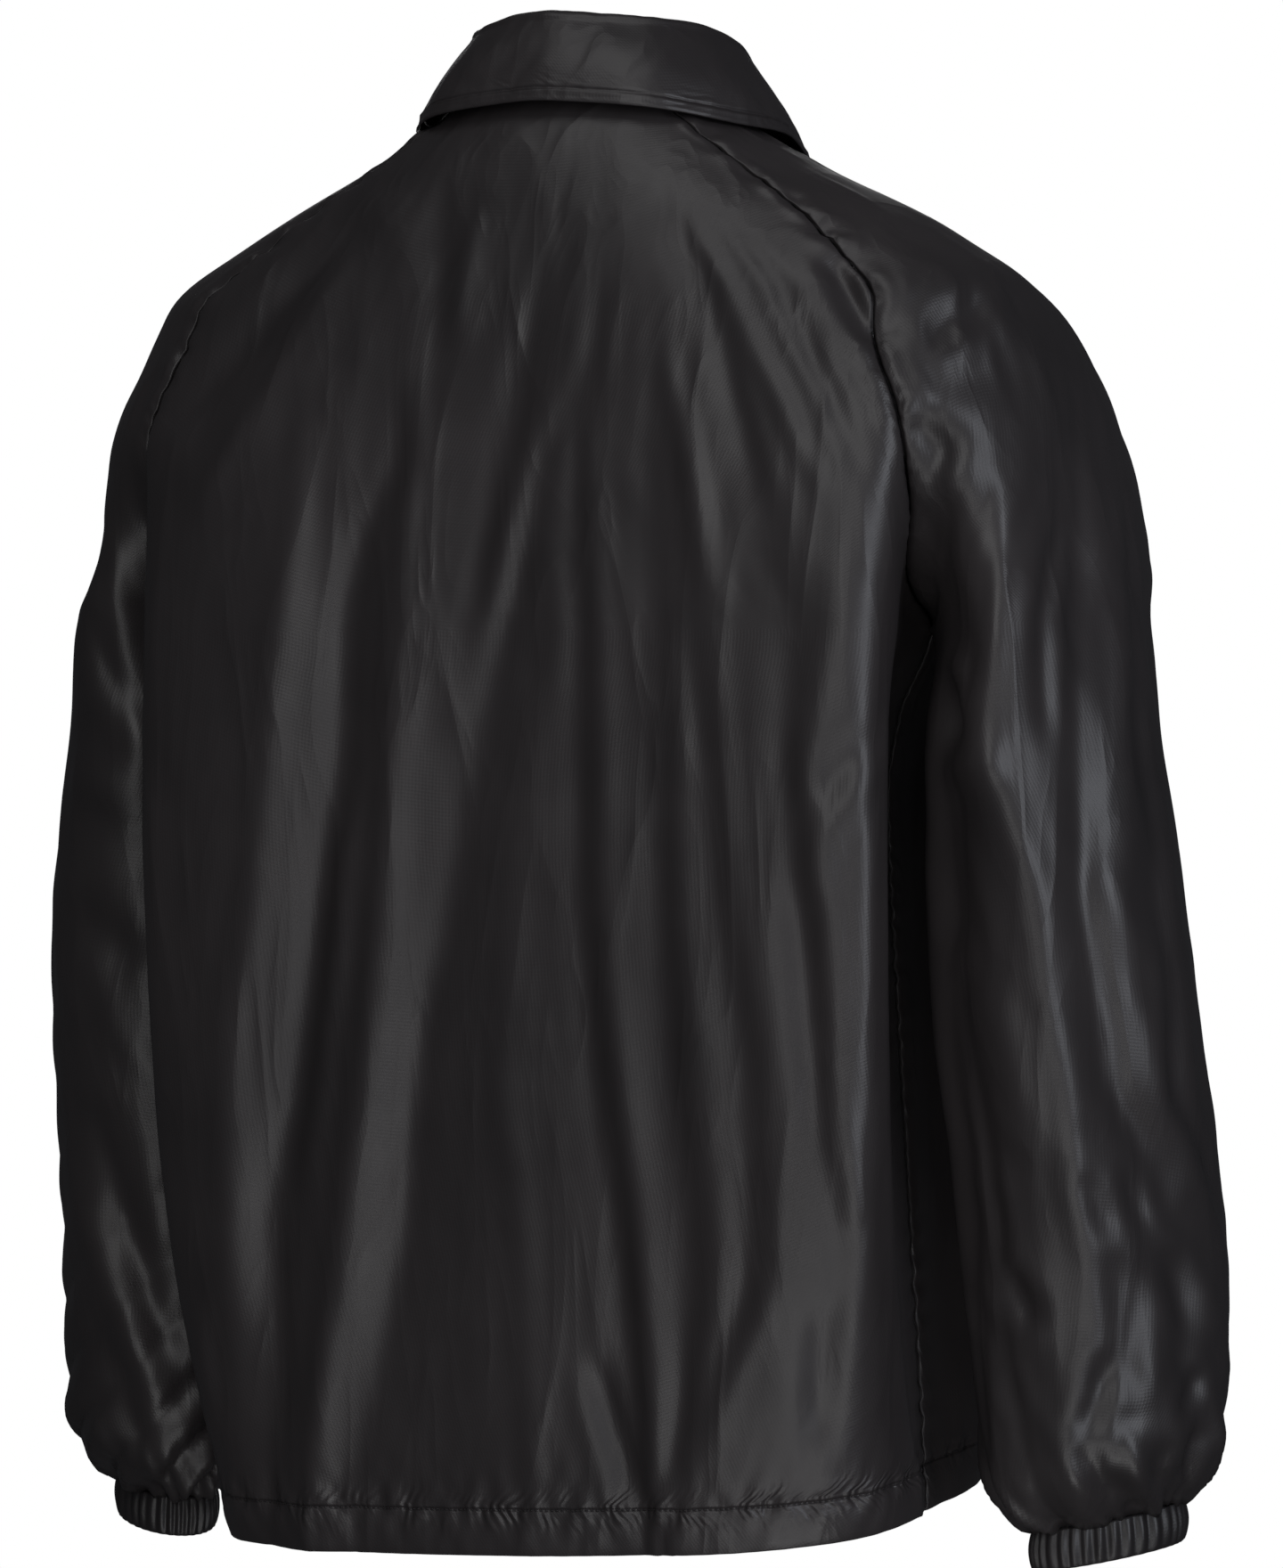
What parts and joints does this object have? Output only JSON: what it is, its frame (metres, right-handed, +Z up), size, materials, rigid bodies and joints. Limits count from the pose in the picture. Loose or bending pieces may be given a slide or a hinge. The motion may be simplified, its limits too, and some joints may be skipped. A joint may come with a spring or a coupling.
{
  "type": "coach_jacket",
  "caption": "Coach jacket in dark charcoal nylon with raglan sleeves, a turned-down shirt collar, a snapped front, elastic cuffs and a turned-up hem, in its worn shape with no wearer",
  "frame": {"origin": "middle of the neck opening, level with the high shoulder points, where the jacket is worn", "axes": "+Z up through the neck, +Y to the wearer's back, +X to the wearer's left"},
  "size_m": [0.6675, 0.2582, 0.7961],
  "materials": {
    "nylon": "coated, soft gloss",
    "gathered_nylon": "gathered over elastic",
    "painted_snap": "satin"
  },
  "bodies": {
    "root": {"back": "nylon", "front_right": "nylon", "front_left": "nylon", "sleeve_right": "nylon", "sleeve_left": "nylon", "collar": "nylon", "cuff_right": "gathered_nylon", "cuff_left": "gathered_nylon", "snap_cap_1": "painted_snap", "snap_cap_2": "painted_snap", "snap_cap_3": "painted_snap", "snap_cap_4": "painted_snap", "snap_cap_5": "painted_snap", "snap_back_1": "painted_snap", "snap_back_2": "painted_snap", "snap_back_3": "painted_snap", "snap_back_4": "painted_snap", "snap_back_5": "painted_snap"}
  },
  "joints": []
}
